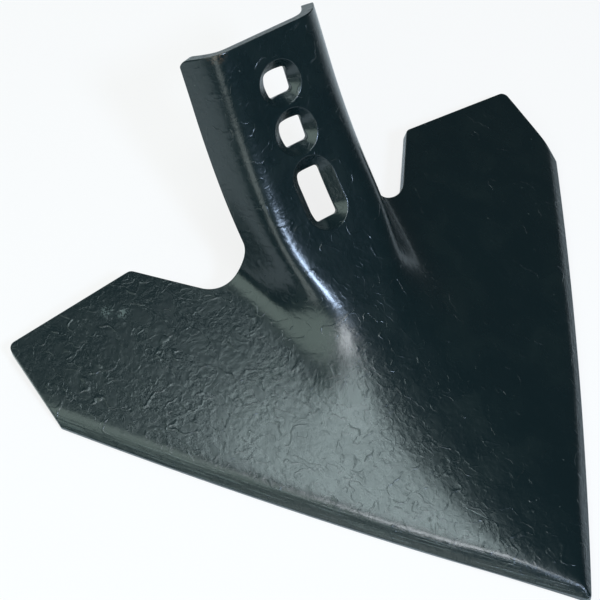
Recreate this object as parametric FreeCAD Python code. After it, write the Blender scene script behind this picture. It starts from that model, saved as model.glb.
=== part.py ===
import FreeCAD, Part
import math
import os
from FreeCAD import Vector

# Duckfoot share, one piece of spring steel plate, cut flat and pressed hot.
# Millimetres. While it is drawn, the point of the share is the origin, +X is the
# way it is pulled, +Y is one wing and +Z is up. The cutting edges lie on Z = 0.

# Plate
THICKNESS = 6.5

# Wings, measured back from the point
HALF_SPAN = 161.0
EDGE_RUN = 218.5
WING_TILT = 12.9
CROWN = 3.1
CROWN_SPAN = 100.0

# Crest, the raised middle that widens from the point into the stem
CREST_ANGLE = 6.4
POINT_CREST_HALF_WIDTH = 5.0
FOOT_HALF_WIDTH = 30.9
CREST_RUN = 163.4

# Stem, folded back along both sides into flanges that grip the tine
STEM_ANGLE = 53.8
STEM_HALF_WIDTH = 33.2
FOOT_CORNER = 208.7
FOOT_RADIUS = 207.0
STEM_LENGTH = 128.5
FLANGE_ANGLE = 69.6
BEND_REACH = 15.0
SADDLE_REACH = 8.3

# Towards the point, where the crest hardly stands above the wings, the bends run out wide
SOFT_SADDLE_REACH = 32.0
SOFT_BEND_SHARE = 0.9
SOFT_DROP = 5.0

# Outline of the blank, drawn square to the press stroke, which leans back
STROKE_LEAN = 28.0
WING_END = 48.5
HEEL_INSET = 72.0
HEEL_TRAIL = 5.0
GULLET_TRAIL = 3.0
GULLET_CLEARANCE = 0.8
GULLET_RADIUS = 14.0
FLANGE_EDGE = 40.0
CORNER_RADIUS = 4.0

# Ground cutting edges, bowed outwards between the point and the wing tip
EDGE_BOW = 3.3
LIP = 1.3
BEVEL_ANGLE = 30.0

# Bolt holes for square necked countersunk bolts
BOLT_SQUARE = 13.3
SQUARE_CORNER = 2.0
COUNTERSINK = 24.0
TOP_MARGIN = 26.0
HOLE_PITCH = 25.9
SLOT_PITCH = 33.2
SLOT_LENGTH = 26.8

# Flat on the back of the stem, coined so that the tine beds against it
SEAT_SINK = 0.2
SEAT_MARGIN = 1.5

# Waste drawn beyond the finished outline
OVERHANG = 25.0

# How closely facets follow the surface where its extent is measured
FACET = 0.05

half_angle = math.atan2(HALF_SPAN, EDGE_RUN)
tilt = math.radians(WING_TILT)
slope_x = math.tan(tilt) * math.sin(half_angle)
slope_y = math.tan(tilt) * math.cos(half_angle)
wing_base = THICKNESS / math.cos(tilt)
crest_growth = (FOOT_HALF_WIDTH - POINT_CREST_HALF_WIDTH) / CREST_RUN
crest_angle = math.radians(CREST_ANGLE)
stem_angle = math.radians(STEM_ANGLE)
flange_slope = math.tan(math.radians(FLANGE_ANGLE))
stroke = math.radians(STROKE_LEAN)
up_crest = Vector(-math.cos(crest_angle), 0, math.sin(crest_angle))
up_stem = Vector(-math.cos(stem_angle), 0, math.sin(stem_angle))
crest_start = Vector(0, 0, wing_base - slope_y * POINT_CREST_HALF_WIDTH)
foot_corner = crest_start + up_crest * FOOT_CORNER
foot_turn = stem_angle - crest_angle
foot_tangent = FOOT_RADIUS * math.tan(foot_turn / 2)
edge_back = EDGE_RUN * math.cos(stroke)
wing_tip = (edge_back + WING_END, HALF_SPAN)
wing_heel = (wing_tip[0] + HEEL_TRAIL, wing_tip[1] - HEEL_INSET)
gullet = (edge_back + GULLET_TRAIL, FLANGE_EDGE + GULLET_CLEARANCE)


def facing(lean):
    """Unit vector square to the front face where the middle leans back by this angle."""
    return Vector(math.sin(lean), 0, math.cos(lean))


def spine():
    """Stations up the middle of the front face, each a point and its lean."""
    stations = []
    start = foot_corner - up_crest * foot_tangent
    run = FOOT_CORNER - foot_tangent + OVERHANG
    steps = 6
    for i in range(steps):
        stations.append((start - up_crest * (run * (steps - i) / steps), crest_angle))
    steps = 4
    centre = start + facing(crest_angle) * FOOT_RADIUS
    reach = 3 * FOOT_RADIUS / (2 + math.cos(foot_turn / steps))
    for i in range(steps + 1):
        lean = crest_angle + foot_turn * i / steps
        stations.append((centre - facing(lean) * reach, lean))
    end = foot_corner + up_stem * foot_tangent
    run = STEM_LENGTH - foot_tangent + OVERHANG
    steps = 4
    for i in range(steps):
        stations.append((end + up_stem * (run * (i + 1) / steps), stem_angle))
    return stations


def crest_half_width(middle):
    """Half width of the flat between the bends: it widens from the point, then narrows."""
    widening = POINT_CREST_HALF_WIDTH - crest_growth * middle.x
    rise = max(0, (middle - foot_corner).dot(up_stem)) / STEM_LENGTH
    narrowing = FOOT_HALF_WIDTH - (FOOT_HALF_WIDTH - STEM_HALF_WIDTH) * rise
    return max(POINT_CREST_HALF_WIDTH / 2, min(widening, narrowing))


def section(station):
    """Control points across the plate: crest, bend, flange, saddle and wing, both sides."""
    middle, lean = station
    down = facing(lean) * -1
    crest = crest_half_width(middle)
    fall = math.cos(lean) + slope_x * math.sin(lean)
    middle_height = (middle.z + slope_x * middle.x - wing_base) / fall
    wing_fall = slope_y / fall

    def wing(y):
        """Distance from the middle down to the crowned top face of the wing."""
        flat = middle_height + wing_fall * y
        place = middle + down * flat
        inset = max(0, -place.x * math.sin(half_angle) - y * math.cos(half_angle))
        return flat + CROWN * (inset / CROWN_SPAN) ** 2 / fall

    drop = max(wing(crest), 0)
    softness = 1 / (1 + (drop / SOFT_DROP) ** 2)
    saddle = SADDLE_REACH + (SOFT_SADDLE_REACH - SADDLE_REACH) * softness
    flange = math.hypot(drop / (flange_slope - wing_fall), saddle)
    foot = crest + flange
    far = HALF_SPAN + OVERHANG
    bend = BEND_REACH + (SOFT_BEND_SHARE * crest - BEND_REACH) * softness
    bend = min(bend, SOFT_BEND_SHARE * crest)
    half = [
        (crest - bend, 0),
        (crest, 0),
        (crest + flange / 3, wing(foot) / 3),
        (crest + flange * 2 / 3, wing(foot) * 2 / 3),
        (foot, wing(foot)),
    ]
    for i in range(1, 5):
        y = foot + (far - foot) * i / 4
        half.append((y, wing(y)))
    points = [middle]
    for y, v in half:
        points.append(middle + down * v + Vector(0, y, 0))
        points.insert(0, middle + down * v - Vector(0, y, 0))
    return points


def cubic(poles):
    """Smooth surface on a net of control points, ending on the outer rows."""
    sheet = Part.BSplineSurface()
    rows, columns = len(poles), len(poles[0])
    u_mults = [4] + [1] * (rows - 4) + [4]
    v_mults = [4] + [1] * (columns - 4) + [4]
    u_knots = list(range(len(u_mults)))
    v_knots = list(range(len(v_mults)))
    sheet.buildFromPolesMultsKnots(poles, u_mults, v_mults, u_knots, v_knots, False, False, 3, 3)
    return sheet


def blank_plane(back, side):
    """A point of the blank drawing, from its distance back from the point."""
    return Vector(-math.cos(stroke) * back, side, math.sin(stroke) * back)


def rounded_wire(points, radii):
    """Closed wire through the points, with each corner rounded by its own radius."""
    edges = []
    ends = []
    count = len(points)
    for i in range(count):
        here = points[i]
        before = (points[i - 1] - here).normalize()
        after = (points[(i + 1) % count] - here).normalize()
        half = before.getAngle(after) / 2
        reach = radii[i] / math.tan(half)
        ends.append((here + before * reach, here + after * reach))
        if radii[i] > 0:
            inward = (before + after).normalize()
            mid = here + inward * (radii[i] / math.sin(half) - radii[i])
            edges.append(Part.Arc(ends[i][0], mid, ends[i][1]).toShape())
    for i in range(count):
        edges.append(Part.makeLine(ends[i][1], ends[(i + 1) % count][0]))
    return Part.Wire(Part.__sortEdges__(edges))


def prism(points, radii, along):
    """Solid standing on both sides of an outline, along a direction."""
    wire = rounded_wire(points, radii)
    wire.translate(along * -1)
    return Part.Face(wire).extrude(along * 2)


def blank():
    """Outline of the blank, with waste left outside both cutting edges and the stem top."""
    stem_end = foot_corner + up_stem * (STEM_LENGTH + OVERHANG)
    stem_back = stem_end.z * math.sin(stroke) - stem_end.x * math.cos(stroke)
    waste = OVERHANG / 2
    wing_waste = (edge_back - WING_END / 3, HALF_SPAN)
    side = [
        (wing_waste, 0),
        (wing_tip, CORNER_RADIUS),
        (wing_heel, CORNER_RADIUS),
        (gullet, GULLET_RADIUS),
        ((stem_back, FLANGE_EDGE), 0),
    ]
    points = [blank_plane(-waste, 0)]
    radii = [0]
    for (back, half), radius in side:
        points.append(blank_plane(back, half))
        radii.append(radius)
    for (back, half), radius in reversed(side):
        points.append(blank_plane(back, -half))
        radii.append(radius)
    return prism(points, radii, facing(stroke) * 400)


def above_stem_top():
    """Everything past the square end of the stem."""
    reach = HALF_SPAN + OVERHANG
    corner = foot_corner + up_stem * STEM_LENGTH
    block = Part.makeBox(2 * reach, 2 * reach, 2 * reach, Vector(-reach, -reach, 0))
    block.Placement = FreeCAD.Placement(corner, FreeCAD.Rotation(Vector(0, 0, 1), up_stem))
    return block


def pressed_plate():
    """The trimmed front face thickened backwards, so that its edges stand square to it."""
    sheet = cubic([section(station) for station in spine()]).toShape()
    trimmed = sheet.cut(above_stem_top()).common(blank())
    return trimmed.Faces[0].makeOffsetShape(THICKNESS, 0.001, fill=True)


def edge_grinding(side):
    """What the grinder takes off one cutting edge: all beyond the lip, and the bevel."""
    along = Vector(-EDGE_RUN, side * HALF_SPAN, 0)
    length = along.Length
    along.normalize()
    up = Vector(slope_x, side * slope_y, 1).normalize()
    inwards = up.cross(along) * side
    middle = along * (length / 2)
    radius = (length * length / 4 + EDGE_BOW * EDGE_BOW) / (2 * EDGE_BOW)
    pivot = middle + inwards * (radius - EDGE_BOW)
    edge = middle - inwards * EDGE_BOW
    top = THICKNESS + OVERHANG
    run = (top - LIP) / math.tan(math.radians(BEVEL_ANGLE))
    profile = [(0, -OVERHANG), (0, LIP), (run, top), (-OVERHANG, top), (-OVERHANG, -OVERHANG)]
    points = [edge + inwards * across + up * height for across, height in profile]
    face = Part.Face(Part.makePolygon(points + points[:1]))
    spread = math.degrees(2 * math.asin((length / 2 + OVERHANG) / radius))
    face.rotate(pivot, up, -spread / 2)
    return face.revolve(pivot, up, spread)


def stem_frame(down):
    """Placement on the front face at a distance down from the stem top, Z out of the face."""
    straight = STEM_LENGTH - foot_tangent
    end = foot_corner + up_stem * foot_tangent
    if down <= straight:
        lean = stem_angle
        place = end + up_stem * (straight - down)
    else:
        lean = stem_angle - (down - straight) / FOOT_RADIUS
        centre = end + facing(stem_angle) * FOOT_RADIUS
        place = centre - facing(lean) * FOOT_RADIUS
    return FreeCAD.Placement(place, FreeCAD.Rotation(Vector(0, 1, 0), math.degrees(lean)))


def bolt_hole(down, length):
    """Hole for a bolt's square neck, with the conical seat for its countersunk head."""
    half_x, half_y = length / 2, BOLT_SQUARE / 2
    corners = [(-half_x, -half_y), (half_x, -half_y), (half_x, half_y), (-half_x, half_y)]
    points = [Vector(x, y, 0) for x, y in corners]
    tool = prism(points, [SQUARE_CORNER] * 4, Vector(0, 0, 2 * THICKNESS))
    spare = half_x - half_y
    depth = COUNTERSINK / 2
    height = depth + THICKNESS
    for x in sorted({-spare, spare}):
        seat = Part.makeCone(0, height, height, Vector(x, 0, -depth))
        tool = tool.fuse(seat)
    if spare > 0:
        profile = [Vector(-spare, 0, -depth)]
        profile.append(Vector(-spare, height, THICKNESS))
        profile.append(Vector(-spare, -height, THICKNESS))
        wedge = Part.Face(Part.makePolygon(profile + profile[:1]))
        tool = tool.fuse(wedge.extrude(Vector(2 * spare, 0, 0)))
    tool.Placement = stem_frame(down)
    return tool


def tine_seat():
    """The thin layer that coining takes off the back of the straight part of the stem."""
    half_width = STEM_HALF_WIDTH - BEND_REACH - SEAT_MARGIN
    length = STEM_LENGTH - foot_tangent + OVERHANG
    corner = Vector(-OVERHANG, -half_width, -OVERHANG)
    block = Part.makeBox(length, 2 * half_width, OVERHANG - THICKNESS + SEAT_SINK, corner)
    block.Placement = stem_frame(0)
    return block


def share():
    body = pressed_plate()
    tools = [edge_grinding(1), edge_grinding(-1), tine_seat()]
    place = TOP_MARGIN
    for pitch, length in [(0, BOLT_SQUARE), (HOLE_PITCH, BOLT_SQUARE), (SLOT_PITCH, SLOT_LENGTH)]:
        place += pitch
        tools.append(bolt_hole(place, length))
    body = body.cut(tools).Solids[0]
    points = body.tessellate(FACET)[0]
    middle = (min(p.x for p in points) + max(p.x for p in points)) / 2
    body.translate(Vector(-middle, 0, -min(p.z for p in points)))
    return body


os.makedirs("parts", exist_ok=True)
share().exportStep("parts/duckfoot_share.step")
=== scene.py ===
# %% [markdown]
# # A duckfoot share
#
# A duckfoot share is the V-shaped foot that a spring tine drags through the soil. It is one
# steel plate, cut flat, pressed hot and dipped in glossy black paint. The imported part is
# loaded first. It fixes where everything goes, and its box places the new plate.

# %% Load the imported part
import math

import bpy
import numpy as np
from mathutils import Matrix, Vector
from mathutils.geometry import delaunay_2d_cdt
from mathutils.kdtree import KDTree


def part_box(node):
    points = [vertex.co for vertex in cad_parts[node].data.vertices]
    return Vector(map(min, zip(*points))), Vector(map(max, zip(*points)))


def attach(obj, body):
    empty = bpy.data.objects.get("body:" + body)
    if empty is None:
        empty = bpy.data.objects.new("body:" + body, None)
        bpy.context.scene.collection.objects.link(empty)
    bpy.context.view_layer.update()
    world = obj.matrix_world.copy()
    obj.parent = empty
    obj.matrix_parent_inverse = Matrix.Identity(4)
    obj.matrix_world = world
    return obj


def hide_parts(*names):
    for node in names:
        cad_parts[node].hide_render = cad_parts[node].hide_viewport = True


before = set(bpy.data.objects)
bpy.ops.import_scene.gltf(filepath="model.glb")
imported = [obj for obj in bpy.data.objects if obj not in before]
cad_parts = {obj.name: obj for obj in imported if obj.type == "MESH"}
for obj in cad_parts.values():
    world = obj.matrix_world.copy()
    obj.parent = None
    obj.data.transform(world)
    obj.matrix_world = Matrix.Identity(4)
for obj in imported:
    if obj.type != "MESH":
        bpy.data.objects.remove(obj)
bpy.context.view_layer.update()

low_corner, high_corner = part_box("duckfoot_share")
print("the packed share is", [round(v, 4) for v in high_corner - low_corner], "m")

# %% [markdown]
# ## The press form
#
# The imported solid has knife-sharp edges. Real plate is sheared and ground by hand, so its
# edges are a little round and the bevel wanders. Bevel and displace modifiers on the solid's
# mesh would give that too, but they tear long thin triangles. So the plate is drawn once more
# from the same sizes, as a fine and even mesh. All of this is in millimetres, with the point
# of the share at the origin, +X the way it is pulled and +Z up.

# %% Sizes of the plate and its wings
THICKNESS = 6.5
HALF_SPAN = 161.0
EDGE_RUN = 218.5
WING_TILT = math.radians(12.9)
CROWN = 3.1
CROWN_SPAN = 100.0
print("the wings span", 2 * HALF_SPAN, "mm")

# %% Sizes of the crest and the stem
CREST_ANGLE = math.radians(6.4)
POINT_CREST_HALF_WIDTH = 5.0
FOOT_HALF_WIDTH = 30.9
CREST_RUN = 163.4
STEM_ANGLE = math.radians(53.8)
STEM_HALF_WIDTH = 33.2
FOOT_CORNER = 208.7
FOOT_RADIUS = 207.0
STEM_LENGTH = 128.5
FLANGE_SLOPE = math.tan(math.radians(69.6))
OVERHANG = 25.0
print("the stem is", 2 * STEM_HALF_WIDTH, "mm wide between its bends")

# %% Sizes of the bends
# Along the stem the bends are tight. Towards the point, where the crest hardly stands above
# the wings, they run out wide.
BEND_REACH = 15.0
SADDLE_REACH = 8.3
SOFT_SADDLE_REACH = 40.0
SOFT_BEND_SHARE = 0.9
SOFT_DROP = 5.0

# Where the foot of the stem lands on the wings, the flat between the bends narrows to a round
# nose, and the flanges beside it are hollow.
NOSE_HALF_WIDTH = 12.0
NOSE_LOW, NOSE_HIGH = 0.0, 19.0
NOSE_FLANGE = np.array([0.20, 0.60])
FLANGE_FILLING = np.array([0.13, 0.07])

# Between the nose and the point the crest sags a little.
CREST_DIP = 1.8
DIP_START, DIP_END = -15.0, -160.0
print("bends reach from", BEND_REACH, "mm on the stem to", SOFT_SADDLE_REACH, "mm at the point")

# %% Angles and runs that follow from the sizes
half_angle = math.atan2(HALF_SPAN, EDGE_RUN)
slope_x = math.tan(WING_TILT) * math.sin(half_angle)
slope_y = math.tan(WING_TILT) * math.cos(half_angle)
wing_base = THICKNESS / math.cos(WING_TILT)
crest_growth = (FOOT_HALF_WIDTH - POINT_CREST_HALF_WIDTH) / CREST_RUN
foot_turn = STEM_ANGLE - CREST_ANGLE
foot_tangent = FOOT_RADIUS * math.tan(foot_turn / 2)
straight_stem = STEM_LENGTH - foot_tangent
print("the foot bends through", round(math.degrees(foot_turn), 1), "degrees")


# %% The middle line of the front face
def uphill(angle):
    """Unit vector that climbs towards the back at this angle."""
    return np.array([-math.cos(angle), 0, math.sin(angle)])


def facing(lean):
    """Unit vector square to a front face whose middle leans back by this angle."""
    return np.array([math.sin(lean), 0, math.cos(lean)])


crest_start = np.array([0, 0, wing_base - slope_y * POINT_CREST_HALF_WIDTH])
foot_corner = crest_start + uphill(CREST_ANGLE) * FOOT_CORNER
print("crest and stem would meet at", foot_corner.round(1))

# %% Stations up the middle
CREST_STATIONS = 6
FOOT_STATIONS = 8
STEM_STATIONS = 4


def spine():
    """Stations up the middle of the front face, each a point and its lean."""
    stations = []
    start = foot_corner - uphill(CREST_ANGLE) * foot_tangent
    run = FOOT_CORNER - foot_tangent + OVERHANG
    for share in np.linspace(1, 0, CREST_STATIONS, endpoint=False):
        stations.append((start - uphill(CREST_ANGLE) * run * share, CREST_ANGLE))
    centre = start + facing(CREST_ANGLE) * FOOT_RADIUS
    # A smooth curve passes inside its poles, so they stand a little outside the arc.
    reach = 3 * FOOT_RADIUS / (2 + math.cos(foot_turn / FOOT_STATIONS))
    for i in range(FOOT_STATIONS + 1):
        lean = CREST_ANGLE + foot_turn * i / FOOT_STATIONS
        stations.append((centre - facing(lean) * reach, lean))
    end = foot_corner + uphill(STEM_ANGLE) * foot_tangent
    run = straight_stem + OVERHANG
    for i in range(STEM_STATIONS):
        share = (i + 1) / STEM_STATIONS
        stations.append((end + uphill(STEM_ANGLE) * run * share, STEM_ANGLE))
    return stations


print("stations up the middle:", len(spine()))


# %% How wide the flat and its bends are at one station
def crest_half_width(middle):
    """Half width of the flat between the bends: it widens from the point, then narrows."""
    widening = POINT_CREST_HALF_WIDTH - crest_growth * middle[0]
    rise = max(0, (middle - foot_corner) @ uphill(STEM_ANGLE)) / STEM_LENGTH
    narrowing = FOOT_HALF_WIDTH - (FOOT_HALF_WIDTH - STEM_HALF_WIDTH) * rise
    return max(POINT_CREST_HALF_WIDTH / 2, min(widening, narrowing))


def bends(crest, drop, wing_fall, height):
    """The flat's half width, its bend's reach, the flange's foot, and how far it has risen."""
    softness = 1 / (1 + (drop / SOFT_DROP) ** 2)
    saddle = SADDLE_REACH + (SOFT_SADDLE_REACH - SADDLE_REACH) * softness
    foot = crest + math.hypot(drop / (FLANGE_SLOPE - wing_fall), saddle)
    risen = min(max((height - NOSE_LOW) / (NOSE_HIGH - NOSE_LOW), 0), 1)
    risen = risen * risen * (3 - 2 * risen)
    crest = min(crest, NOSE_HALF_WIDTH) * (1 - risen) + crest * risen
    bend = BEND_REACH + (SOFT_BEND_SHARE * crest - BEND_REACH) * softness
    return crest, min(bend, SOFT_BEND_SHARE * crest), foot, risen


print("half the flat at the foot:", round(crest_half_width(foot_corner), 1), "mm")

# %% The section across the plate at one station
WING_POLES = 5


def section(middle, lean):
    """Control points across the plate: wing, saddle, flange, bend and crest, both sides."""
    down = -facing(lean)
    dip = np.clip((middle[0] - DIP_START) / (DIP_END - DIP_START), 0, 1)
    middle = middle + down * CREST_DIP * math.sin(math.pi * dip) ** 2
    fall = math.cos(lean) + slope_x * math.sin(lean)
    middle_height = (middle[2] + slope_x * middle[0] - wing_base) / fall
    wing_fall = slope_y / fall

    def wing(y):
        """Distance from the middle down to the crowned top face of the wing."""
        flat = middle_height + wing_fall * y
        place = middle + down * flat
        inset = max(0, -place[0] * math.sin(half_angle) - y * math.cos(half_angle))
        return flat + CROWN * (inset / CROWN_SPAN) ** 2 / fall

    crest = crest_half_width(middle)
    drop = max(wing(crest), 0)
    crest, bend, foot, risen = bends(crest, drop, wing_fall, middle_height)
    near_depth, far_depth = wing(foot) * (NOSE_FLANGE + FLANGE_FILLING * risen)
    flange = foot - crest
    half = [(crest - bend, 0), (crest, 0)]
    half += [(crest + flange / 3, near_depth), (crest + flange * 2 / 3, far_depth)]
    half += [(y, wing(y)) for y in np.linspace(foot, HALF_SPAN + OVERHANG, WING_POLES)]
    across = [(-y, depth) for y, depth in reversed(half)] + [(0, 0)] + half
    return [middle + down * depth + np.array([0, y, 0]) for y, depth in across]


net = np.array([section(middle, lean) for middle, lean in spine()])
print("control net:", net.shape)

# %% [markdown]
# ## Points on the smooth face
#
# A cubic spline surface follows the control net. Blender has such surfaces too, but it only
# gives back their finished mesh, and the outline and the holes have to be cut from points at
# chosen places. So numpy works out thousands of points at once. A point is often wanted by
# where it lies on a drawing, such as the flat blank, so `locate` finds it with a few Newton
# steps that start from a coarse sample.


# %% The cubic surface
def cubic_weights(place, count):
    """Weights of the poles at each place along one direction, and how fast they change."""
    knots = np.concatenate([np.zeros(3), np.arange(count - 2), np.full(3, count - 3)])
    place = np.clip(place, 0, count - 3 - 1e-9)[:, None]
    weights = ((place >= knots[:-1]) & (place < knots[1:])).astype(float)
    for degree in (1, 2, 3):
        span = knots[degree:] - knots[:-degree]
        share = 1 / np.where(span > 0, span, np.inf)
        slopes = 3 * (weights[:, :-1] * share[:-1] - weights[:, 1:] * share[1:])
        rising = (place - knots[:-degree - 1]) * share[:-1]
        falling = (knots[degree + 1:] - place) * share[1:]
        weights = rising * weights[:, :-1] + falling * weights[:, 1:]
    return weights, slopes


def unit(vectors):
    return vectors / np.linalg.norm(vectors, axis=-1, keepdims=True)


def front_face(places):
    """Points of the front face, and how they move along each of its two directions."""
    rows, row_slopes = cubic_weights(places[:, 0], net.shape[0])
    columns, column_slopes = cubic_weights(places[:, 1], net.shape[1])
    strips = np.tensordot(rows, net, axes=1)
    points = np.einsum("mj,mjk->mk", columns, strips)
    up = np.einsum("mj,mjk->mk", columns, np.tensordot(row_slopes, net, axes=1))
    over = np.einsum("mj,mjk->mk", column_slopes, strips)
    return points, up, over


def face_and_normal(places):
    """Points of the front face and the unit vectors that stand out of it."""
    points, up, over = front_face(places)
    return points, unit(np.cross(over, up))


print("the first corner of the face:", face_and_normal(np.zeros((1, 2)))[0].round(1))

# %% Finding a point by where it lies on a drawing
ROW_STEP, COLUMN_STEP = 0.12, 0.08
LONGEST_MOVE = 0.5
sample_rows = np.arange(0, net.shape[0] - 3, ROW_STEP)
sample_columns = np.arange(0, net.shape[1] - 3, COLUMN_STEP)
samples = np.stack(np.meshgrid(sample_rows, sample_columns, indexing="ij"), -1).reshape(-1, 2)
sample_points = front_face(samples)[0]


def locate(wanted, axes, newton_steps=6):
    """Places on the face whose distances along two axes are the wanted ones."""
    flat = sample_points @ axes.T
    tree = KDTree(len(flat))
    for i, (x, y) in enumerate(flat):
        tree.insert((x, y, 0), i)
    tree.balance()
    places = samples[[tree.find((x, y, 0))[1] for x, y in wanted]]
    for _ in range(newton_steps):
        points, up, over = front_face(places)
        gap = wanted - points @ axes.T
        a, b = (up @ axes.T).T
        c, d = (over @ axes.T).T
        turn = a * d - b * c
        move = np.stack([d * gap[:, 0] - c * gap[:, 1], a * gap[:, 1] - b * gap[:, 0]], -1)
        places = places + np.clip(move / turn[:, None], -LONGEST_MOVE, LONGEST_MOVE)
    return places


# The blank is drawn square to the stroke of the press, which leans between crest and stem.
STROKE_LEAN = math.radians(28)
blank_axes = np.array([uphill(STROKE_LEAN), [0, 1, 0]])
stem_axes = np.array([-uphill(STEM_ANGLE), [0, 1, 0]])
middle_of_stem = locate(np.array([[200.0, 0.0]]), blank_axes)
print("a point of the middle:", face_and_normal(middle_of_stem)[0].round(2))

# %% [markdown]
# ## The ground cutting edges
#
# Both cutting edges are ground after pressing, to a long bevel that leaves a thin lip. The
# grinder takes metal off the top only. A boolean cut would do that, but it would leave a sharp
# ridge. So a point of the face is lowered where the bevel passes under it, which gives the
# bevel, its worn round ridge and its run-out at the wing's end.

# %% Cutting edges and bevel
EDGE_BOW = 3.3
LIP = 2.8
BEVEL_SLOPE = math.tan(math.radians(30))
BEVEL_REACH = (THICKNESS - LIP) / BEVEL_SLOPE
HAND_WANDER = 0.45
RIDGE_ROUND = 1.3
# Near the point the two bevels are cut towards the middle, and the wander fades.
POINT_REACH = 3.0
POINT_CALM = 10.0

edge_length = math.hypot(EDGE_RUN, HALF_SPAN)
edge_radius = (edge_length ** 2 / 4 + EDGE_BOW ** 2) / (2 * EDGE_BOW)
print("cutting edges", round(edge_length, 1), "mm long")


# %% Where a point lies beside a cutting edge
def wing_frame(side):
    """Unit vectors along a cutting edge, inwards over its wing, and out of the wing."""
    along = unit(np.array([-EDGE_RUN, side * HALF_SPAN, 0]))
    up = unit(np.array([slope_x, side * slope_y, 1]))
    return along, np.cross(up, along) * side, up


def edge_place(points, side):
    """How far points lie along one cutting edge, inwards from it, and above its wing."""
    along, inwards, up = wing_frame(side)
    run = points @ along
    depth = edge_radius - EDGE_BOW - points @ inwards
    return run, edge_radius - np.hypot(run - edge_length / 2, depth), points @ up


sample_place = edge_place(np.array([[-100.0, -60.0, 5.0]]), -1)
print("left wing, mm along, in from and above its edge:", [round(v[0], 1) for v in sample_place])

# %% Lowering what the bevel passes under
WANDER_WAVES = [(41.0, 0.5), (17.3, 0.3), (7.1, 0.2)]


def wander(along, side):
    """A slow wobble between -1 and 1 along an edge, as hand grinding leaves it."""
    return sum(size * np.sin(along / length + side * 2.1 + length)
               for length, size in WANDER_WAVES)


def grind(points, normals):
    """Lowers the points that the bevels pass under, and leans their normals outwards."""
    ground = points.copy()
    leaning = normals.copy()
    bared = np.zeros(len(points))
    point_corner = unit(np.array([slope_x + slope_y * EDGE_RUN / HALF_SPAN, 0, 1]))
    aside = np.abs(points[:, 1:2])
    for side in (1, -1):
        along, inwards, up = wing_frame(side)
        run, inset, height = edge_place(points, side)
        wobble = HAND_WANDER * wander(run, side) * np.clip(inset / BEVEL_REACH, 0, 1)
        wobble *= np.clip(aside[:, 0] / POINT_CALM, 0, 1)
        own = (points[:, 1] >= 0) == (side > 0)
        above = height - LIP - inset * BEVEL_SLOPE - wobble
        rounded = np.hypot(above, RIDGE_ROUND)
        cut = (above + rounded) / 2 * own
        off_point = np.clip(aside / POINT_REACH, 0, 1)
        lift = unit(up * off_point + point_corner * (1 - off_point))
        ground -= lift * (cut / (lift @ (up - inwards * BEVEL_SLOPE)))[:, None]
        flank = np.broadcast_to(up - inwards * BEVEL_SLOPE, points.shape).copy()
        flank[:, 1:2] *= np.clip(aside, 0, 1)
        share = (1 + above / rounded)[:, None] / 2 * own[:, None]
        leaning = unit(leaning * (1 - share) + flank * share)
        bared = np.maximum(bared, np.clip(share[:, 0] * 2 - 0.6, 0, 1))
    return ground, leaning, bared


print("the bevel reaches", round(BEVEL_REACH, 1), "mm in from the edge")

# %% [markdown]
# ## The outline of the blank
#
# The outline is drawn as it looks along the stroke of the press, where it is simple. It could
# be a Blender curve, but then its bends over the face would have to be projected. Half of it
# runs from the point along the bowed cutting edge, across the wing's end, round the heel and
# the gullet and up the flange to the square top of the stem. Its corners are arcs. The other
# half mirrors it.

# %% Corners and curves of the outline
WING_END = 48.5
HEEL_INSET = 72.0
HEEL_TRAIL = 5.0
GULLET_TRAIL = 3.0
GULLET_CLEARANCE = 0.8
FLANGE_EDGE = 40.0
WING_CORNER = 4.0
GULLET_RADIUS = 14.0
POINT_RADIUS = 3.0
SMALL_CORNER = 1.3
OUTLINE_STEP = 1.3
print("the gullet's radius is", GULLET_RADIUS, "mm")


# %% Arcs and steps of the outline
def arc_corner(before, corner, after, radius):
    """Points of the arc that rounds a corner between two neighbours."""
    back, ahead = unit(before - corner), unit(after - corner)
    half = math.acos(np.clip(back @ ahead, -1, 1)) / 2
    reach = radius / math.tan(half)
    t = np.linspace(0, 1, 3 + int(radius * 1.5) * 2)[:, None]
    weight = 2 * math.sin(half) * t * (1 - t)
    start, end = corner + back * reach, corner + ahead * reach
    top = (1 - t) ** 2 * start + weight * corner + t ** 2 * end
    return top / ((1 - t) ** 2 + weight + t ** 2)


def stepped(start, end, step=OUTLINE_STEP):
    """Points from start up to end at about one step apart, without the last one."""
    count = max(2, int(np.linalg.norm(end - start) / step))
    return start + (end - start) * np.linspace(0, 1, count, endpoint=False)[:, None]


print("the wing's end takes", len(stepped(np.zeros(1), np.array([WING_END]))), "steps")


# %% Two curves of the outline that are straight or square only after the bend
def cutting_edge_curve():
    """Where the bowed cutting edge lies in the blank drawing, a little past both ends."""
    along, inwards, _ = wing_frame(1)
    run = np.linspace(-3, edge_length + 2, 240)
    bow = np.sqrt(edge_radius ** 2 - (run - edge_length / 2) ** 2) - edge_radius + EDGE_BOW
    places = locate(np.stack([run, -bow], -1), np.array([along, inwards]))
    return face_and_normal(places)[0] @ blank_axes.T


def stem_top_curve():
    """Where the square top of the stem lies in the blank drawing, finer over the flange."""
    top = foot_corner @ uphill(STEM_ANGLE) + STEM_LENGTH
    sides = np.concatenate([np.arange(44, 30, -0.4), np.arange(30, 0.5, -1.25), [0]])
    wanted = np.stack([np.full(len(sides), -top), sides], -1)
    return face_and_normal(locate(wanted, stem_axes))[0] @ blank_axes.T


edge_curve = cutting_edge_curve()
top_curve = stem_top_curve()
print("the stem's top lies", round(top_curve[-1][0], 1), "mm back on the blank")


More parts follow.
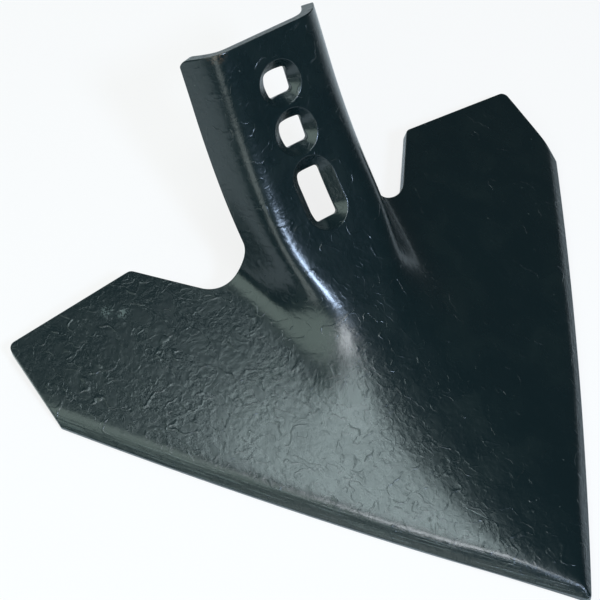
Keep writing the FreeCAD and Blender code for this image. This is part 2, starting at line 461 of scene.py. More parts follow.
# %% Cutting one curve of the outline with another
def cross(curve, start, end):
    """Where a curve crosses the line through two points, and the index just before it."""
    normal = np.array([start[1] - end[1], end[0] - start[0]])
    side = (curve - start) @ normal
    i = int(np.nonzero(side[:-1] * side[1:] <= 0)[0][0])
    share = side[i] / (side[i] - side[i + 1])
    return curve[i] + (curve[i + 1] - curve[i]) * share, i


def beyond(curve, corner, arc_end, room=0.4):
    """The points of a curve that lie farther from a corner than its arc does."""
    reach = np.linalg.norm(arc_end - corner) + room
    return curve[np.linalg.norm(curve - corner, axis=1) > reach]


point_spot, _ = cross(edge_curve, np.array([0.0, 0.0]), np.array([1.0, 0.0]))
print("the edge meets the middle at", point_spot.round(2))

# %% Corners of the outline
edge_end = np.array([EDGE_RUN * math.cos(STROKE_LEAN), HALF_SPAN])
tip = edge_end + [WING_END, 0]
heel = tip + [HEEL_TRAIL, -HEEL_INSET]
gullet = np.array([edge_end[0] + GULLET_TRAIL, FLANGE_EDGE + GULLET_CLEARANCE])
far_back = np.array([top_curve[:, 0].max() + 30, FLANGE_EDGE])
top_corner, top_first = cross(top_curve, gullet, far_back)
print("heel at", heel.round(1), "and gullet at", gullet.round(1), "on the blank")


# %% Half the outline, then all of it
def half_outline():
    """The outline from the point to the middle of the stem's top."""
    end, last = cross(edge_curve, edge_end, tip)
    corners = [end, tip, heel, gullet, top_corner]
    radii = [SMALL_CORNER, WING_CORNER, WING_CORNER, GULLET_RADIUS, SMALL_CORNER]
    flank = edge_curve[edge_curve[:, 1] > 5][0]
    point_arc = arc_corner(flank * [1, -1], point_spot, flank, POINT_RADIUS)
    neighbours = [edge_curve[last - 3]] + corners + [top_curve[top_first + 5]]
    arcs = [arc_corner(neighbours[i], corners[i], neighbours[i + 2], radius)
            for i, radius in enumerate(radii)]
    edge = edge_curve[(edge_curve[:, 1] > 0) & (np.arange(len(edge_curve)) <= last)]
    edge = beyond(edge, point_spot, point_arc[-1])
    pieces = [point_arc[len(point_arc) // 2:], beyond(edge, end, arcs[0][0]), arcs[0]]
    for before, arc in zip(arcs, arcs[1:]):
        pieces += [stepped(before[-1], arc[0])[1:], arc]
    pieces.append(beyond(top_curve[top_first + 1:], top_corner, arcs[-1][-1]))
    return np.concatenate(pieces)


half = half_outline()
outline = np.concatenate([half, (half * [1, -1])[::-1][1:-1]])
print("outline points:", len(outline))

# %% [markdown]
# ## The mesh of the plate
#
# A solidify and a bevel modifier could thicken the face and round its edges. But then the
# shading of glossy paint bends where the faces are uneven. So the mesh is woven from rings:
# they follow the outline and the holes, round their edges over and run down the sheared walls.
# The front and back between them are filled with a triangulated grid. Every vertex gets its
# normal from the surface itself, so that reflections run smoothly over it.

# %% Slow unevenness of pressed plate
RIPPLE = 0.10
RIPPLE_LENGTH = 38
ripple_waves = np.random.default_rng(5).normal(0, 1, (7, 3)) / RIPPLE_LENGTH


def plate_face(places):
    """Points and normals of the front face, with the slight waviness of hot pressed steel."""
    points, normals = face_and_normal(places)
    lift = np.zeros(len(points))
    slope = np.zeros(points.shape)
    for i, wave in enumerate(ripple_waves):
        phase = points @ wave + i
        lift += RIPPLE / 3 * np.sin(phase)
        slope += RIPPLE / 3 * np.cos(phase)[:, None] * wave
    slope -= normals * np.sum(slope * normals, axis=1)[:, None]
    return points + normals * lift[:, None], unit(normals - slope)


print("ripples:", len(ripple_waves), "waves,", RIPPLE, "mm high")


# %% Gathering vertices and faces
class Plate:
    """Vertices, normals and faces of the share, gathered piece by piece."""

    def __init__(self):
        self.points = []
        self.normals = []
        self.bared = []
        self.faces = []
        self.count = 0

    def add(self, points, normals, bared=0.0):
        """Adds vertices and gives back their numbers."""
        self.points.append(points)
        self.normals.append(normals)
        self.bared.append(np.broadcast_to(bared, len(points)).astype(float))
        self.count += len(points)
        return np.arange(self.count - len(points), self.count)

    def weave(self, rings):
        """Joins each closed ring of vertices to the next with quads."""
        for ring, following in zip(rings, rings[1:]):
            quads = np.stack([ring, np.roll(ring, -1), np.roll(following, -1), following], -1)
            self.faces.extend(quads.tolist())

    def fill(self, drawing, loops, numbers):
        """Triangulates a drawing inside its first loop and outside the others."""
        edges = []
        for loop in loops:
            edges += list(zip(loop, loop[1:] + loop[:1]))
        spots = [Vector(spot) for spot in drawing.tolist()]
        found = delaunay_2d_cdt(spots, edges, [loops[0]], 1, 1e-5)
        triangles = np.array([[found[3][corner][0] for corner in face] for face in found[2]])
        middles = drawing[triangles].mean(axis=1)
        keep = np.ones(len(triangles), bool)
        for loop in loops[1:]:
            keep &= ~inside(middles, drawing[loop])
        self.faces.extend(numbers[triangles[keep]].tolist())


plate = Plate()
print("the plate starts with", plate.count, "vertices")


# %% Inside, outside and over an edge
def inside(spots, loop):
    """Which spots lie inside a closed loop."""
    start, end = loop, np.roll(loop, -1, axis=0)
    within = np.zeros(len(spots), bool)
    for (x0, y0), (x1, y1) in zip(start, end):
        spans = (y0 > spots[:, 1]) != (y1 > spots[:, 1])
        reach = x0 + (spots[:, 1] - y0) * (x1 - x0) / (y1 - y0 if y1 != y0 else 1)
        within ^= spans & (spots[:, 0] < reach)
    return within


def round_over(start, corner, end, start_normals, end_normals):
    """Two rows of points and normals that carry one face over an edge to the next."""
    rows = []
    for t in (1 / 3, 2 / 3):
        spot = (1 - t) ** 2 * start + 2 * t * (1 - t) * corner + t ** 2 * end
        rows.append((spot, unit((1 - t) * start_normals + t * end_normals)))
    return rows


print("is this spot on the blank:", inside(np.array([[50.0, 0.0]]), outline))

# %% Rings round the sheared and ground edges
EDGE_ROUND = 0.6


def outline_rings():
    """Rings over the plate's edge, and the drawing of the innermost one."""
    points, normals = plate_face(locate(outline, blank_axes))
    onwards = unit(np.roll(points, -1, axis=0) - np.roll(points, 1, axis=0))
    inwards = unit(np.cross(normals, onwards))
    top, _, bared = grind(points, normals)
    wall = THICKNESS - np.linalg.norm(points - top, axis=1)
    radius = np.minimum(EDGE_ROUND, 0.2 * wall)[:, None]
    drawing = (points + inwards * radius) @ blank_axes.T
    inner, inner_normals = plate_face(locate(drawing, blank_axes))
    inner_top, leaning, inner_bared = grind(inner, inner_normals)
    back = points - THICKNESS * normals
    inner_back = inner - THICKNESS * inner_normals
    upper, lower = top - normals * radius, back + normals * radius
    rows = [(inner_top, leaning)]
    rows += round_over(inner_top, top, upper, leaning, -inwards)
    rows += [(upper, -inwards), (lower, -inwards)]
    rows += round_over(lower, back, inner_back, -inwards, -inner_normals)
    rows.append((inner_back, -inner_normals))
    rings = [plate.add(spot, normal, inner_bared) for spot, normal in rows]
    plate.weave(rings)
    return rings[0], rings[-1], drawing


front_ring, back_ring, ring_drawing = outline_rings()
print("ring vertices so far:", plate.count)

# %% [markdown]
# ## Bolt holes
#
# Each hole has a conical seat for a countersunk head and a square neck below it, which keeps
# the bolt from turning. The bottom one is a slot, so that different hole spacings fit. Boolean
# cuts would work, but they leave slivers on a curved face. Rays from the middle of a hole find
# its rim, its cone and its neck instead, and rings are woven down through the plate.

# %% Sizes of the holes
BOLT_SQUARE = 13.3
SQUARE_CORNER = 2.0
SEAT_RADIUS = 12.0
TOP_MARGIN = 26.0
HOLE_PITCH = 25.9
SLOT_PITCH = 33.2
SLOT_LENGTH = 26.8
RIM_ROUND = 0.35
NECK_ROUND = 0.3
print("square necks", BOLT_SQUARE, "mm, seats", 2 * SEAT_RADIUS, "mm across")


# %% Where a hole stands, and the rays round it
def stem_frame(down):
    """A point of the stem's middle at a distance below the top, and its three directions."""
    bend_end = foot_corner + uphill(STEM_ANGLE) * foot_tangent
    lean = STEM_ANGLE - max(0, down - straight_stem) / FOOT_RADIUS
    if down <= straight_stem:
        base = bend_end + uphill(STEM_ANGLE) * (straight_stem - down)
    else:
        base = bend_end + (facing(STEM_ANGLE) - facing(lean)) * FOOT_RADIUS
    return base, np.array([-uphill(lean), [0, 1, 0], facing(lean)])


def stadium_rays(spare, step=0.9):
    """Start points and directions of rays spread evenly round a hole or slot."""
    quarter = math.pi / 2
    count = int(math.pi * SEAT_RADIUS / step)
    turn = np.linspace(-quarter, quarter, count, endpoint=False)
    slide = np.linspace(spare, -spare, int(2 * spare / step), endpoint=False)
    starts, angles = [], []
    for flip in (0, math.pi):
        sign = 1 - 2 * (flip > 0)
        starts += [spare * sign] * len(turn) + list(slide * sign)
        angles += list(turn + flip) + [quarter + flip] * len(slide)
    starts = np.stack([starts, np.zeros(len(starts))], -1)
    return starts, np.stack([np.cos(angles), np.sin(angles)], -1)


def neck_gap(spots, half_length):
    """Distance of spots outside the round-cornered neck."""
    core = np.array([half_length, BOLT_SQUARE / 2]) - SQUARE_CORNER
    past = np.abs(spots) - core
    outer = np.linalg.norm(np.clip(past, 0, None), axis=1)
    return outer + np.minimum(past.max(axis=1), 0) - SQUARE_CORNER


def neck_outwards(spots, half_length, nudge=1e-3):
    """Direction straight out of the neck's wall at spots on it."""
    gaps = [neck_gap(spots + step, half_length) - neck_gap(spots - step, half_length)
            for step in np.eye(2) * nudge]
    return unit(np.stack(gaps, -1))


print("the upper hole's middle:", stem_frame(TOP_MARGIN)[0].round(1))

# %% From a drawing on the stem to points of the plate
RIM_PASSES = 3


class StemPlace:
    """The place of one hole, and how spots that are drawn there turn into points."""

    def __init__(self, down):
        self.base, self.axes = stem_frame(down)

    def lift(self, spots, height):
        """Points at a height over the flat of the stem."""
        local = np.column_stack([spots, np.broadcast_to(height, len(spots))])
        return self.base + local @ self.axes

    def on_face(self, spots):
        """Points and normals of the front."""
        flat = self.axes[:2]
        return plate_face(locate(spots + self.base @ flat.T, flat))

    def on_back(self, spots):
        """Points and normals of the back, and the points of the front above them."""
        aim = spots.copy()
        for _ in range(RIM_PASSES):
            points, normals = self.on_face(aim)
            back = points - THICKNESS * normals
            aim += spots - (back - self.base) @ self.axes[:2].T
        return back, -normals, points


print("the upper hole's middle on the face:",
      StemPlace(TOP_MARGIN).on_face(np.zeros((1, 2)))[0].round(1))

# %% Rings down through a hole
NECK_PASSES = 60


def hole_rings(down, length):
    """Weaves one hole, and gives its outer rings and their drawings, front and back."""
    stem = StemPlace(down)
    base, axes = stem.base, stem.axes
    starts, rays = stadium_rays((length - BOLT_SQUARE) / 2)
    half_length = length / 2
    rim = np.full(len(rays), SEAT_RADIUS)
    for _ in range(RIM_PASSES):
        edge, _ = stem.on_face(starts + rays * rim[:, None])
        rim = SEAT_RADIUS + (edge - base) @ axes[2]
    outer, outer_normals = stem.on_face(starts + rays * (rim + RIM_ROUND)[:, None])
    cone_top = starts + rays * (rim - RIM_ROUND)[:, None]
    cone_normals = unit(np.column_stack([-rays, np.ones(len(rays))])) @ axes
    reach = np.zeros(len(rays))
    for _ in range(NECK_PASSES):
        reach -= neck_gap(starts + rays * reach[:, None], half_length)
    neck = starts + rays * reach[:, None]
    out = neck_outwards(neck, half_length)
    wall_normals = -np.column_stack([out, np.zeros(len(out))]) @ axes
    cone_foot = starts + rays * (reach + NECK_ROUND)[:, None]

    mouth, _, _ = stem.on_back(neck)
    back_outer, back_normals, above = stem.on_back(neck + out * 2 * RIM_ROUND)
    rows = [(outer, outer_normals)]
    cone_start = stem.lift(cone_top, rim - RIM_ROUND - SEAT_RADIUS)
    rows += round_over(outer, edge, cone_start, outer_normals, cone_normals)
    rows.append((cone_start, cone_normals))
    foot = stem.lift(cone_foot, reach + NECK_ROUND - SEAT_RADIUS)
    rows.append((foot, cone_normals))
    wall_top = stem.lift(neck, reach - SEAT_RADIUS - NECK_ROUND)
    brink = stem.lift(neck, reach - SEAT_RADIUS)
    rows += round_over(foot, brink, wall_top, cone_normals, wall_normals)
    rows.append((wall_top, wall_normals))
    wall_foot = mouth + axes[2] * RIM_ROUND
    rows.append((wall_foot, wall_normals))
    rows += round_over(wall_foot, mouth, back_outer, wall_normals, back_normals)
    rows.append((back_outer, back_normals))
    rings = [plate.add(spot, normal) for spot, normal in rows]
    plate.weave(rings)
    return rings[0], outer @ blank_axes.T, rings[-1], above @ blank_axes.T


print("the outline of a neck is found in", NECK_PASSES, "passes")


# %% The three holes
upper = TOP_MARGIN
lower = upper + HOLE_PITCH
slot = lower + SLOT_PITCH
hole_places = [(upper, BOLT_SQUARE), (lower, BOLT_SQUARE), (slot, SLOT_LENGTH)]
holes = [hole_rings(down, length) for down, length in hole_places]
print("vertices with the holes:", plate.count)

# %% [markdown]
# ## Filling the faces
#
# Between the rings, the front and the back are open. A regular grid of places on the blank
# fills them, closer together over the flanges, where the face falls away steeply, and along
# the ridge of the bevel, where it turns. The back is plain, so its grid is coarser. A grid
# place too close to a ring is left out, because it would make a thin triangle there.

# %% Places to fill the faces with
FRONT_STEP = 1.4
BACK_STEP = 2.8
FLANGE_STEP = 0.45
FLANGE_START, FLANGE_END = 31, 42
RIDGE_OFFSETS = (-1.5, -0.5, 0.5, 1.5)


def grid(step, flange_step):
    """Places on the blank drawing, closer together where the flanges fall away."""
    near = np.arange(0, FLANGE_START, step)
    flange = np.arange(FLANGE_START, FLANGE_END, flange_step)
    far = np.arange(FLANGE_END, HALF_SPAN + 2, step)
    half = np.concatenate([near, flange, far])
    sides = np.concatenate([-half[:0:-1], half])
    backs = np.arange(1, top_curve[:, 0].max(), step)
    return np.stack(np.meshgrid(backs, sides, indexing="ij"), -1).reshape(-1, 2)


def bevel_rows():
    """Places along the line where each bevel leaves the face, and close to both sides."""
    spots = []
    run = np.arange(4, edge_length - 1, OUTLINE_STEP)
    for side in (1, -1):
        along, inwards, _ = wing_frame(side)
        inset = np.full(len(run), BEVEL_REACH)
        for offset in RIDGE_OFFSETS:
            for _ in range(3):
                bow = np.sqrt((edge_radius - inset) ** 2 - (run - edge_length / 2) ** 2)
                aim = np.stack([run, edge_radius - EDGE_BOW - bow], -1)
                points, _ = plate_face(locate(aim, np.array([along, inwards])))
                rise = edge_place(points, side)[2] - LIP - HAND_WANDER * wander(run, side)
                inset = rise / BEVEL_SLOPE + offset
            own = points[:, 1] * side > 0.5
            spots.append(points[own] @ blank_axes.T)
    return np.concatenate(spots)


ridge_spots = bevel_rows()
print("places along the ridges:", len(ridge_spots))

# %% Filling one side
CLEARANCE = 0.55
RIDGE_CLEARANCE = 0.8


def clear_of(points, others, room):
    """Which points keep their distance from the others."""
    tree = KDTree(len(others))
    for i, other in enumerate(others):
        tree.insert(other, i)
    tree.balance()
    return np.array([tree.find(point)[2] > room for point in points])


def fill_side(ring, drawing, hole_numbers, hole_drawings, spots, front):
    """Fills the front or the back between the outline's ring and the holes' rings."""
    keep = inside(spots, drawing)
    for loop in hole_drawings:
        keep &= ~inside(spots, loop)
    points, normals = plate_face(locate(spots[keep], blank_axes))
    rims = [ring] + hole_numbers
    known = np.concatenate(plate.points)[np.concatenate(rims)]
    if front:
        points, normals, bared = grind(points, normals)
    else:
        points, normals, bared = points - THICKNESS * normals, -normals, 0.0
    room = clear_of(points, known, CLEARANCE)
    inner = plate.add(points[room], normals[room], bared[room] if front else 0.0)
    drawings = [drawing] + hole_drawings + [spots[keep][room]]
    loops, start = [], 0
    for loop in drawings[:-1]:
        loops.append(list(range(start, start + len(loop))))
        start += len(loop)
    plate.fill(np.concatenate(drawings), loops, np.concatenate(rims + [inner]))


def on_paper(spots):
    """Places on the drawing with a zero added, because Blender's search tree needs three."""
    return np.column_stack([spots, np.zeros(len(spots))])


print("grid places keep", CLEARANCE, "mm away from the rings")

# %% Filling both sides
rims, rim_drawings, mouths, mouth_drawings = (list(rings) for rings in zip(*holes))
front_spots = grid(FRONT_STEP, FLANGE_STEP)
apart = clear_of(on_paper(front_spots), on_paper(ridge_spots), RIDGE_CLEARANCE)
front_spots = np.concatenate([front_spots[apart], ridge_spots])
fill_side(front_ring, ring_drawing, rims, rim_drawings, front_spots, True)
back_spots = grid(BACK_STEP, 2 * FLANGE_STEP)
fill_side(back_ring, ring_drawing, mouths, mouth_drawings, back_spots, False)
print("vertices:", plate.count, "faces:", len(plate.faces))

# %% [markdown]
# ## One object
#
# The gathered vertices and faces become one mesh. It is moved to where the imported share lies,
# and takes its place. Two attributes ride along for the paint: how far a vertex lies along and
# inwards of its cutting edge, and whether the grinder has bared it.

# %% The share as one object
LEFT_WING_START = 500


def edge_coordinates(points):
    """How far each point lies along and inwards of its own cutting edge, for the streaks."""
    right, left = (np.stack(edge_place(points, side), -1) for side in (1, -1))
    own = points[:, 1:2] >= 0
    return np.where(own, right, left + [LEFT_WING_START, 0, 0])


def share_object():
    """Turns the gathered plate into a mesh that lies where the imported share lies."""
    points = np.concatenate(plate.points)
    normals = np.concatenate(plate.normals)
    corner, outwards = face_and_normal(locate(top_corner[None], blank_axes))
    rearmost = (corner - THICKNESS * outwards)[0, 0]
    low = np.array(low_corner) * 1000
    shift = np.array([low[0] - rearmost, 0, low[2] - points[:, 2].min()])
    faces = []
    for face in plate.faces:
        a, b, c = points[face[0]], points[face[1]], points[face[2]]
        outwards = normals[face[0]] + normals[face[1]] + normals[face[2]]
        faces.append(face if np.cross(b - a, c - b) @ outwards > 0 else face[::-1])
    mesh = bpy.data.meshes.new("duckfoot share")
    mesh.from_pydata(((points + shift) / 1000).tolist(), [], faces)
    mesh.polygons.foreach_set("use_smooth", [True] * len(mesh.polygons))
    grinding = mesh.attributes.new("grinding", "FLOAT_VECTOR", "POINT")
    grinding.data.foreach_set("vector", edge_coordinates(points).ravel())
    bared = mesh.attributes.new("bared", "FLOAT", "POINT")
    bared.data.foreach_set("value", np.concatenate(plate.bared))
    mesh.normals_split_custom_set_from_vertices(normals.tolist())
    share = bpy.data.objects.new("duckfoot_share_plate", mesh)
    bpy.context.scene.collection.objects.link(share)
    return share, shift


share, shift = share_object()
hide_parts("duckfoot_share")
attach(share, "root")
print("share:", len(share.data.polygons), "faces, moved by", shift.round(2), "mm")

# %% [markdown]
# ## Paint
#
# The share was dipped in black paint that dried glossy, with a green tint, a fine orange peel
# and long wrinkles where the paint ran. Over the ground bevel the paint is thin, so light
# streaks follow the edge; on the left wing, which faces the lamps, these streaks are also a
# painted highlight. A painted picture could show this, but noise that is worked out from places
# on the share has no seams and stays sharp from close by. The maths between the noises is
# written as plain arithmetic, and the two classes here turn it into nodes.


# %% A short way to write shader maths
class Signal:
    """A value on its way through the nodes. Arithmetic on it adds Math nodes."""

    def __init__(self, nodes, socket):
        self.nodes = nodes
        self.socket = socket

    def maths(self, operation, *values):
        settings = {"operation": operation}
        return self.nodes.node("ShaderNodeMath", settings, dict(enumerate(values)))

    def __add__(self, other):
        return self.maths("ADD", self, other)

    def __mul__(self, other):
        return self.maths("MULTIPLY", self, other)

    def __sub__(self, other):
        return self.maths("SUBTRACT", self, other)

    def __rsub__(self, other):
        return self.maths("SUBTRACT", other, self)

    __radd__ = __add__
    __rmul__ = __mul__

    def least(self, other):
        return self.maths("MINIMUM", self, other)

    def size(self):
        return self.maths("ABSOLUTE", self)

    def between(self, low, high):
        """0 below low, 1 above high and a smooth step in between."""
        settings = {"interpolation_type": "SMOOTHSTEP"}
        inputs = {"Value": self, "From Min": low, "From Max": high}
        return self.nodes.node("ShaderNodeMapRange", settings, inputs)


print("arithmetic on a Signal adds Math nodes")


# %% The one way to add a node
class Nodes:
    """A tree of nodes, and the one way that nodes are added to it."""

    def __init__(self, tree):
        self.tree = tree

    def node(self, kind, settings, inputs, output=0):
        """Adds a node: its settings first, then the values or links of its sockets."""
        node = self.tree.nodes.new(kind)
        for name, value in settings.items():
            setattr(node, name, value)
        for name, value in inputs.items():
            self.feed(node.inputs[name], value)
        return Signal(self, node.outputs[output])

    def feed(self, socket, value):
        """Links a signal to a socket, or sets the socket to a plain value."""
        if isinstance(value, Signal):
            self.tree.links.new(value.socket, socket)
        else:
            socket.default_value = value

    def sink(self, name):
        """The socket of an output node that takes the finished surface."""
        return self.tree.nodes[name].inputs["Surface"]


print("nodes are added with their settings first, then their sockets")


# %% A material and the patterns that finishes are made of
class Finish(Nodes):
    """A material with the nodes that its finish is made of."""

    def __init__(self, name):
        self.material = bpy.data.materials.new(name)
        self.material.use_nodes = True
        super().__init__(self.material.node_tree)
        self.shader = self.tree.nodes["Principled BSDF"]

    def noise(self, place, scale, detail=2.0, distortion=0.0):
        """Noise between 0 and 1; the scale counts its lumps in a millimetre."""
        inputs = {"Vector": place, "Scale": scale, "Detail": detail, "Distortion": distortion}
        return self.node("ShaderNodeTexNoise", {}, inputs)

    def blend(self, share, first, second):
        """A colour that goes from the first to the second as the share goes from 0 to 1."""
        inputs = {0: share, 6: first, 7: second}
        return self.node("ShaderNodeMix", {"data_type": "RGBA"}, inputs, 2)

    def stretched(self, place, stretch):
        """The place with each direction multiplied by its own factor."""
        inputs = {0: place, 1: stretch}
        return self.node("ShaderNodeVectorMath", {"operation": "MULTIPLY"}, inputs)

    def distance(self, place, spot):
        """How far a place is from a spot, in millimetres."""
        settings = {"operation": "DISTANCE"}
        return self.node("ShaderNodeVectorMath", settings, {0: place, 1: spot}, 1)

    def near(self, place, spot, radius, room):
        """1 close to a spot, and 0 farther from it than the radius and the room."""
        return 1 - self.distance(place, spot).between(radius, radius + room)


paint = Finish("black dip paint")
in_metres = paint.node("ShaderNodeTexCoord", {}, {}, 3)
place = paint.stretched(in_metres, (1000, 1000, 1000))
print("paint nodes so far:", len(paint.tree.nodes))

# %% [markdown]
# ## How the paint lies
#
# A wrinkle of paint is a thin raised line. A noise has such lines where it passes its middle
# value, so a narrow band round 0.5 draws them, and a second noise breaks them into pieces. The
# place is pushed about by another noise first, so that the lines wander like worms.

# %% Peel, mottle and wrinkles
DRIFT = 16
peel = paint.noise(place, 0.30, 3.0)
mottle = paint.noise(place, 0.045, 4.0, 0.6)
swirl = paint.noise(place, 0.09, 2.0)
drift = paint.node("ShaderNodeVectorMath", {"operation": "MULTIPLY_ADD"}, {
    0: paint.node("ShaderNodeTexNoise", {}, {"Vector": place, "Scale": 0.07, "Detail": 2.0}, 1),
    1: (DRIFT, DRIFT, DRIFT),
    2: place,
})


def worm_lines(scale, width):
    """Thin lines where a noise passes its middle."""
    return 1 - (paint.noise(drift, scale, 1.0) - 0.5).size().between(0.0, width)


long_wrinkles = worm_lines(0.06, 0.020) * swirl.between(0.50, 0.60)
short_wrinkles = worm_lines(0.14, 0.042) * (1 - swirl.between(0.42, 0.56))
ripples = paint.noise(paint.stretched(drift, (0.8, 1.3, 1)), 0.10, 1.0)
print("wrinkles and peel are ready")

# %% Thin paint with streaks over the ground bevel, and a painted highlight on the left one
bared = paint.node("ShaderNodeAttribute", {"attribute_name": "bared"}, {}, 2)
grinding = paint.node("ShaderNodeAttribute", {"attribute_name": "grinding"}, {}, 1)
streak = paint.noise(paint.stretched(grinding, (0.035, 1.1, 1)), 1.0, 4.0, 0.3)
across = paint.node("ShaderNodeSeparateXYZ", {}, {0: place}, 1)
# Only the left wing, which faces the lamps, gets the lighter streaks: there they are thin paint
# and a painted highlight of the bevel.
lit_left_wing = 1 - across.between(-12.0, 4.0)
thin_paint_and_painted_highlight = bared * streak.between(0.50, 0.66) * lit_left_wing
print("streaks and thin places are ready")

# %% [markdown]
# ## Marks of handling
#
# Paint is scuffed where shares knock together in their box. Each mark is found by its distance
# from a place on the share, and grit breaks up its rim. A scratch is the place where the ways
# to its two ends add up to hardly more than its length.

# %% Scuffs, a scratch, a stain and specks
SCUFF_PLACES = [(-103.1, -111.0, 20.2), (-97.5, -105.0, 20.5)]
SCRATCH_START, SCRATCH_END = (79.7, -25.0, 11.9), (94.0, -17.6, 11.4)
STAIN_PLACE = (-134.9, -27.7, 132.8)
grit = paint.noise(place, 0.9, 4.0)
scuffs = sum(paint.near(place, spot, 0.5, 4.0) for spot in SCUFF_PLACES)
scuffs = scuffs * grit.between(0.46, 0.56)
stain = paint.near(place, STAIN_PLACE, 1.0, 6.0) * grit.between(0.42, 0.58) * 0.7
to_ends = paint.distance(place, SCRATCH_START) + paint.distance(place, SCRATCH_END)
scratch = 1 - (to_ends - math.dist(SCRATCH_START, SCRATCH_END)).between(0.0, 0.03)
cells = {"Vector": place, "Scale": 0.11}
speck_gap = paint.node("ShaderNodeTexVoronoi", {}, cells, 0)
speck_draw = paint.node("ShaderNodeTexVoronoi", {}, cells, 1)
specks = (1 - speck_gap.between(0.025, 0.05)) * speck_draw.between(0.62, 0.66)
print("scuffs, a scratch, a stain and specks are ready")

# %% Colour of the paint
BLACK_GREEN = (0.0016, 0.0100, 0.0118, 1)
DUSTY_GREEN = (0.004, 0.013, 0.014, 1)
# Grey for worn paint, and for the painted highlight on the left bevel.
WORN_AND_HIGHLIGHT_GREY = (0.10, 0.125, 0.115, 1)
STAIN_BROWN = (0.10, 0.062, 0.038, 1)
colour = paint.blend(mottle.between(0.42, 0.72), BLACK_GREEN, DUSTY_GREEN)
# Lighter grey over the left bevel: thin paint and a painted highlight.
colour = paint.blend(thin_paint_and_painted_highlight * 0.30, colour, WORN_AND_HIGHLIGHT_GREY)
colour = paint.blend((scuffs + scratch * 0.7 + specks * 0.5).least(1), colour, WORN_AND_HIGHLIGHT_GREY)
colour = paint.blend(stain, colour, STAIN_BROWN)
paint.feed(paint.shader.inputs["Base Color"], colour)
print("the paint is coloured")

# %% Gloss and relief of the paint
RELIEF = {"Strength": 0.55, "Distance": 0.0004}
gloss = mottle * 0.10 + ripples * 0.08 + 0.18
height = long_wrinkles * 0.60 + short_wrinkles * 0.24 + ripples * 0.3 + peel * 0.9
height = height + bared * streak * 0.8 + thin_paint_and_painted_highlight * 0.15 + specks * 0.4 - scratch * 0.3
relief = paint.node("ShaderNodeBump", {}, RELIEF | {"Height": height})
paint.feed(paint.shader.inputs["Roughness"], gloss)
paint.feed(paint.shader.inputs["Normal"], relief)
paint.shader.inputs["IOR"].default_value = 1.52
paint.shader.inputs["Coat Weight"].default_value = 0.35
paint.shader.inputs["Coat Roughness"].default_value = 0.16
share.data.materials.append(paint.material)
print("paint nodes:", len(paint.tree.nodes))

# %% [markdown]
# ## Floor
#
# The share lies on a sheet of white paper. Real paper in dim light renders grey. More light
# would bleach the paint, so the paper glows a little instead, but only where the camera looks
# at it: the share isn't lit by that glow, and its shadow stays.

# %% Paper floor
FLOOR_REACH = 3.0
PAPER_WHITENING = 0.82
PAPER_WHITE = (0.93, 0.93, 0.93, 1)
WHITE = (1, 1, 1, 1)
sides = [(-1, -1), (1, -1), (1, 1), (-1, 1)]
corners = [(x * FLOOR_REACH, y * FLOOR_REACH, 0) for x, y in sides]
floor_mesh = bpy.data.meshes.new("paper floor")
floor_mesh.from_pydata(corners, [], [(0, 1, 2, 3)])
floor = bpy.data.objects.new("paper floor", floor_mesh)
bpy.context.scene.collection.objects.link(floor)
paper = Finish("white paper")
paper.shader.inputs["Base Color"].default_value = PAPER_WHITE
paper.shader.inputs["Roughness"].default_value = 1.0
paper.shader.inputs["Specular IOR Level"].default_value = 0.0
seen = paper.node("ShaderNodeLightPath", {}, {})
glow = paper.node("ShaderNodeEmission", {}, {"Color": WHITE, "Strength": 1.0})
whitened = paper.node("ShaderNodeMixShader", {}, {
    0: seen * PAPER_WHITENING,
    1: Signal(paper, paper.shader.outputs[0]),
    2: glow,
})
paper.feed(paper.sink("Material Output"), whitened)
floor.data.materials.append(paper.material)
print("the paper is", 2 * FLOOR_REACH, "m wide")

# %% [markdown]
# ## Light
#
# Glossy black paint shows its lamps rather than its colour, so each lamp is there for one
# reflection. The ceiling window gives the left wing its grey sheen, and the side window lights
# the hollow where that wing meets the stem. The edge lamp brightens the ridge near the point,
# the front card the bevel, and a small cool lamp makes the bright line at the foot of the
# stem. A weak fill behind keeps the rear edges in sight. The room stays dim, so the far wing
# stays nearly black. Behind the paper it is white, again only where the camera looks.

# %% A dim room with white walls
ROOM_COLOUR = (0.9, 0.95, 1, 1)
ROOM_LIGHT = 0.08
world = bpy.data.worlds.new("studio")
bpy.context.scene.world = world
world.use_nodes = True
room = Nodes(world.node_tree)
dim = world.node_tree.nodes["Background"]
dim.inputs["Color"].default_value = ROOM_COLOUR
dim.inputs["Strength"].default_value = ROOM_LIGHT
walls = room.node("ShaderNodeMixShader", {}, {
    0: room.node("ShaderNodeLightPath", {}, {}),
    1: Signal(room, dim.outputs[0]),
    2: room.node("ShaderNodeBackground", {}, {"Color": WHITE, "Strength": 1.0}),
})
room.feed(room.sink("World Output"), walls)
print("room nodes:", len(world.node_tree.nodes))

# %% Lamps
LAMP_AIM = Vector((0, 0, 0.02))


def soft_light(name, place, size, radiance, colour):
    """A round area light at a place in metres, turned towards the middle of the share."""
    data = bpy.data.lights.new(name, "AREA")
    data.shape = "DISK"
    data.size = size
    area = math.pi * size ** 2 / 4
    data.energy = radiance * math.pi * area
    data.color = colour
    light = bpy.data.objects.new(name, data)
    light.location = place
    light.rotation_euler = (Vector(place) - LAMP_AIM).to_track_quat("Z", "Y").to_euler()
    bpy.context.scene.collection.objects.link(light)


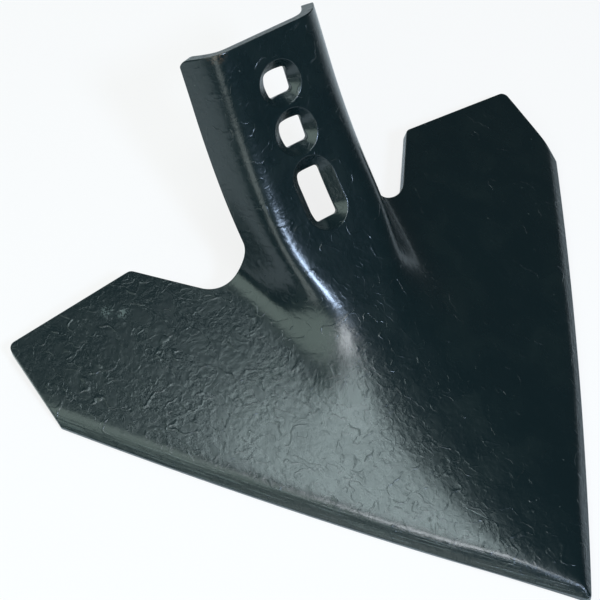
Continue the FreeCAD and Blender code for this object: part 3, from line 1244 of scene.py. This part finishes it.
soft_light("ceiling window", (-0.11, 0.00, 1.40), 0.36, 8.5, (0.80, 0.98, 0.99))
soft_light("edge lamp", (0.26, -0.27, 1.38), 0.32, 14.0, (0.90, 0.96, 1.0))
soft_light("side window", (-0.06, -0.72, 0.88), 0.92, 2.1, (0.80, 1.0, 0.90))
soft_light("front card", (0.62, -0.88, 0.47), 0.45, 2.2, (0.88, 1.0, 0.97))
soft_light("cool lamp", (0.68, -0.13, 1.00), 0.20, 75.0, (0.58, 0.74, 1.0))
soft_light("fill behind", (-1.25, 0.15, 0.85), 0.80, 1.0, (0.9, 1.0, 1.0))

# %% [markdown]
# ## Camera
#
# The camera looks down on the share from before its point and from the side of the wing that
# catches the light, as in the photograph. Its turn is an axis times an angle in radians, and
# its offset is where the point of the share lies before the lens. Both were fitted to the
# outline of the share.

# %% Camera
CAMERA_TURN = Vector((2.24748, 1.19547, -0.29939))
CAMERA_OFFSET = Vector((0.13738, 0.14287, 0.85359))
FOCAL_PIXELS = 1800.0
PHOTO_WIDTH = 600
SENSOR_WIDTH = 36
turn = Matrix.Rotation(CAMERA_TURN.length, 3, CAMERA_TURN.normalized())
moved = CAMERA_OFFSET - turn @ (Vector(shift) / 1000)
camera_data = bpy.data.cameras.new("camera")
camera_data.sensor_width = SENSOR_WIDTH
camera_data.lens = FOCAL_PIXELS / PHOTO_WIDTH * SENSOR_WIDTH
camera = bpy.data.objects.new("camera", camera_data)
# Blender's camera looks along -Z with +Y up, and the fit looked along +Z with +Y down.
flip = Matrix(((1, 0, 0), (0, -1, 0), (0, 0, -1)))
stand = Matrix.Translation(-(turn.transposed() @ moved))
camera.matrix_world = stand @ (flip @ turn).transposed().to_4x4()
bpy.context.scene.collection.objects.link(camera)
bpy.context.scene.camera = camera
bpy.context.scene.view_settings.view_transform = "Standard"
print("camera at", [round(v, 3) for v in camera.matrix_world.translation])

# %% [markdown]
# ## End
#
# The box of the imported share was read at the start, to place the new plate.

# %% Finish
print("the scene is built")
